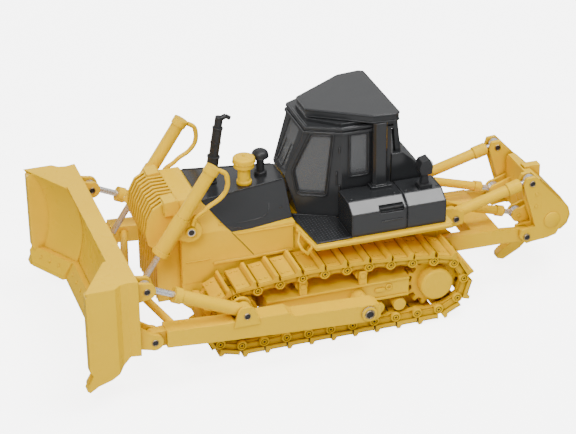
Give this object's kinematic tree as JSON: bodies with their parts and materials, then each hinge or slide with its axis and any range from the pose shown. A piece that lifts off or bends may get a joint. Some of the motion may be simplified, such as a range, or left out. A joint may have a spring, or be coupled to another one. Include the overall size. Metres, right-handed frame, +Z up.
{
  "type": "die-cast scale model bulldozer",
  "caption": "Die-cast tabletop model of a crawler bulldozer with a semi-U blade on push arms, a closed cab and a rear ripper on a lifting linkage.",
  "frame": {"origin": "centre of the bounding box's footprint, on the ground under the tracks", "axes": "+X forward towards the blade, +Y to the machine's left, +Z up"},
  "size_m": [0.1635, 0.08, 0.0669],
  "materials": {
    "yellow_enamel": "glossy",
    "track_yellow": "satin",
    "charcoal_enamel": "satin",
    "black_plastic": "matte",
    "bare_metal": "satin",
    "grey_plastic": "matte",
    "window_glass": "clear"
  },
  "bodies": {
    "tractor": {"chassis": "yellow_enamel", "deck": "yellow_enamel", "engine_cover": "yellow_enamel", "radiator_guard": "yellow_enamel", "hood": "charcoal_enamel", "cab": "charcoal_enamel", "cab_glass": "window_glass", "seat": "grey_plastic", "canopy": "charcoal_enamel", "roof_posts": "charcoal_enamel", "step_plates": "charcoal_enamel", "side_boxes": "charcoal_enamel", "rear_tank": "charcoal_enamel", "rear_lamps": "black_plastic", "exhaust": "black_plastic", "precleaner": "yellow_enamel", "intake": "black_plastic", "rear_bracket": "yellow_enamel", "track_frame_left": "yellow_enamel", "track_frame_right": "yellow_enamel", "rollers_left": "yellow_enamel", "rollers_right": "yellow_enamel", "idler_left": "yellow_enamel", "idler_right": "yellow_enamel", "sprocket_left": "yellow_enamel", "sprocket_right": "yellow_enamel", "track_left": "track_yellow", "track_right": "track_yellow", "trunnion_screws": "bare_metal", "lift_pivots": "bare_metal", "ripper_tilt_pins": "bare_metal"},
    "push_frame": {"push_frame": "yellow_enamel"},
    "blade": {"blade": "yellow_enamel"},
    "tilt_barrels": {"tilt_barrels": "yellow_enamel"},
    "tilt_rods": {"tilt_rods": "bare_metal"},
    "lift_barrels": {"lift_barrels": "yellow_enamel"},
    "lift_rods": {"lift_rods": "bare_metal"},
    "ripper_frame": {"ripper_frame": "yellow_enamel", "ripper_pins": "bare_metal"},
    "ripper_beam": {"ripper_beam": "yellow_enamel", "ripper_shank": "yellow_enamel"},
    "ripper_tilt_barrels": {"ripper_tilt_barrels": "yellow_enamel", "ripper_tilt_rods": "bare_metal"},
    "ripper_lift_barrels": {"ripper_lift_barrels": "yellow_enamel"},
    "ripper_lift_rods": {"ripper_lift_rods": "bare_metal"}
  },
  "joints": [
    {"name": "blade_lift", "type": "hinge", "parent": "tractor", "child": "push_frame", "pos_m": [-0.0044, 0, 0.0127], "axis": [0, -1, 0], "range_deg": [-3.2, 6]},
    {"name": "blade_pitch", "type": "hinge", "parent": "push_frame", "child": "blade", "pos_m": [0.0606, 0, 0.0159], "axis": [0, 1, 0], "range_deg": [-5, 5]},
    {"name": "tilt_barrel_swing", "type": "hinge", "parent": "push_frame", "child": "tilt_barrels", "pos_m": [0.0331, 0, 0.0193], "axis": [0, 1, 0], "range_deg": [-1.5, 1.5]},
    {"name": "tilt_rod_slide", "type": "slide", "parent": "tilt_barrels", "child": "tilt_rods", "axis": [0.9083, 0, 0.4183], "range_m": [-0.0014, 0.0014]},
    {"name": "lift_barrel_swing", "type": "hinge", "parent": "tractor", "child": "lift_barrels", "pos_m": [0.0437, 0, 0.0388], "axis": [0, 1, 0], "range_deg": [-8.4, 4.6]},
    {"name": "lift_rod_slide", "type": "slide", "parent": "lift_barrels", "child": "lift_rods", "axis": [0.5547, 0, -0.8321], "range_m": [-0.0056, 0.0031]},
    {"name": "ripper_lift", "type": "hinge", "parent": "tractor", "child": "ripper_frame", "pos_m": [-0.038, 0, 0.018], "axis": [0, 1, 0], "range_deg": [-3.4, 10]},
    {"name": "ripper_beam_turn", "type": "hinge", "parent": "ripper_frame", "child": "ripper_beam", "pos_m": [-0.0639, 0, 0.017], "axis": [0, 1, 0], "range_deg": [-5.5, 2]},
    {"name": "ripper_tilt_barrel_swing", "type": "hinge", "parent": "tractor", "child": "ripper_tilt_barrels", "pos_m": [-0.0395, 0, 0.0281], "axis": [0, 1, 0], "range_deg": [-3.8, 10.8]},
    {"name": "ripper_lift_barrel_swing", "type": "hinge", "parent": "tractor", "child": "ripper_lift_barrels", "pos_m": [-0.038, 0, 0.0295], "axis": [0, 1, 0], "range_deg": [-3.5, 9.7]},
    {"name": "ripper_lift_rod_slide", "type": "slide", "parent": "ripper_lift_barrels", "child": "ripper_lift_rods", "axis": [-0.9595, 0, -0.2818], "range_m": [-0.0017, 0.0007]}
  ],
  "couplings": [
    {"joint": "tilt_barrel_swing", "follows": "blade_pitch", "ratio": 0.26435},
    {"joint": "tilt_rod_slide", "follows": "blade_pitch", "m_per_rad": 0.014585},
    {"joint": "lift_barrel_swing", "follows": "blade_lift", "ratio": -1.3458},
    {"joint": "lift_rod_slide", "follows": "blade_lift", "m_per_rad": -0.052385},
    {"joint": "ripper_beam_turn", "follows": "ripper_lift", "ratio": -0.53217},
    {"joint": "ripper_tilt_barrel_swing", "follows": "ripper_lift", "ratio": 1.0474},
    {"joint": "ripper_lift_barrel_swing", "follows": "ripper_lift", "ratio": 0.94015},
    {"joint": "ripper_lift_rod_slide", "follows": "ripper_lift", "m_per_rad": -0.00866}
  ]
}
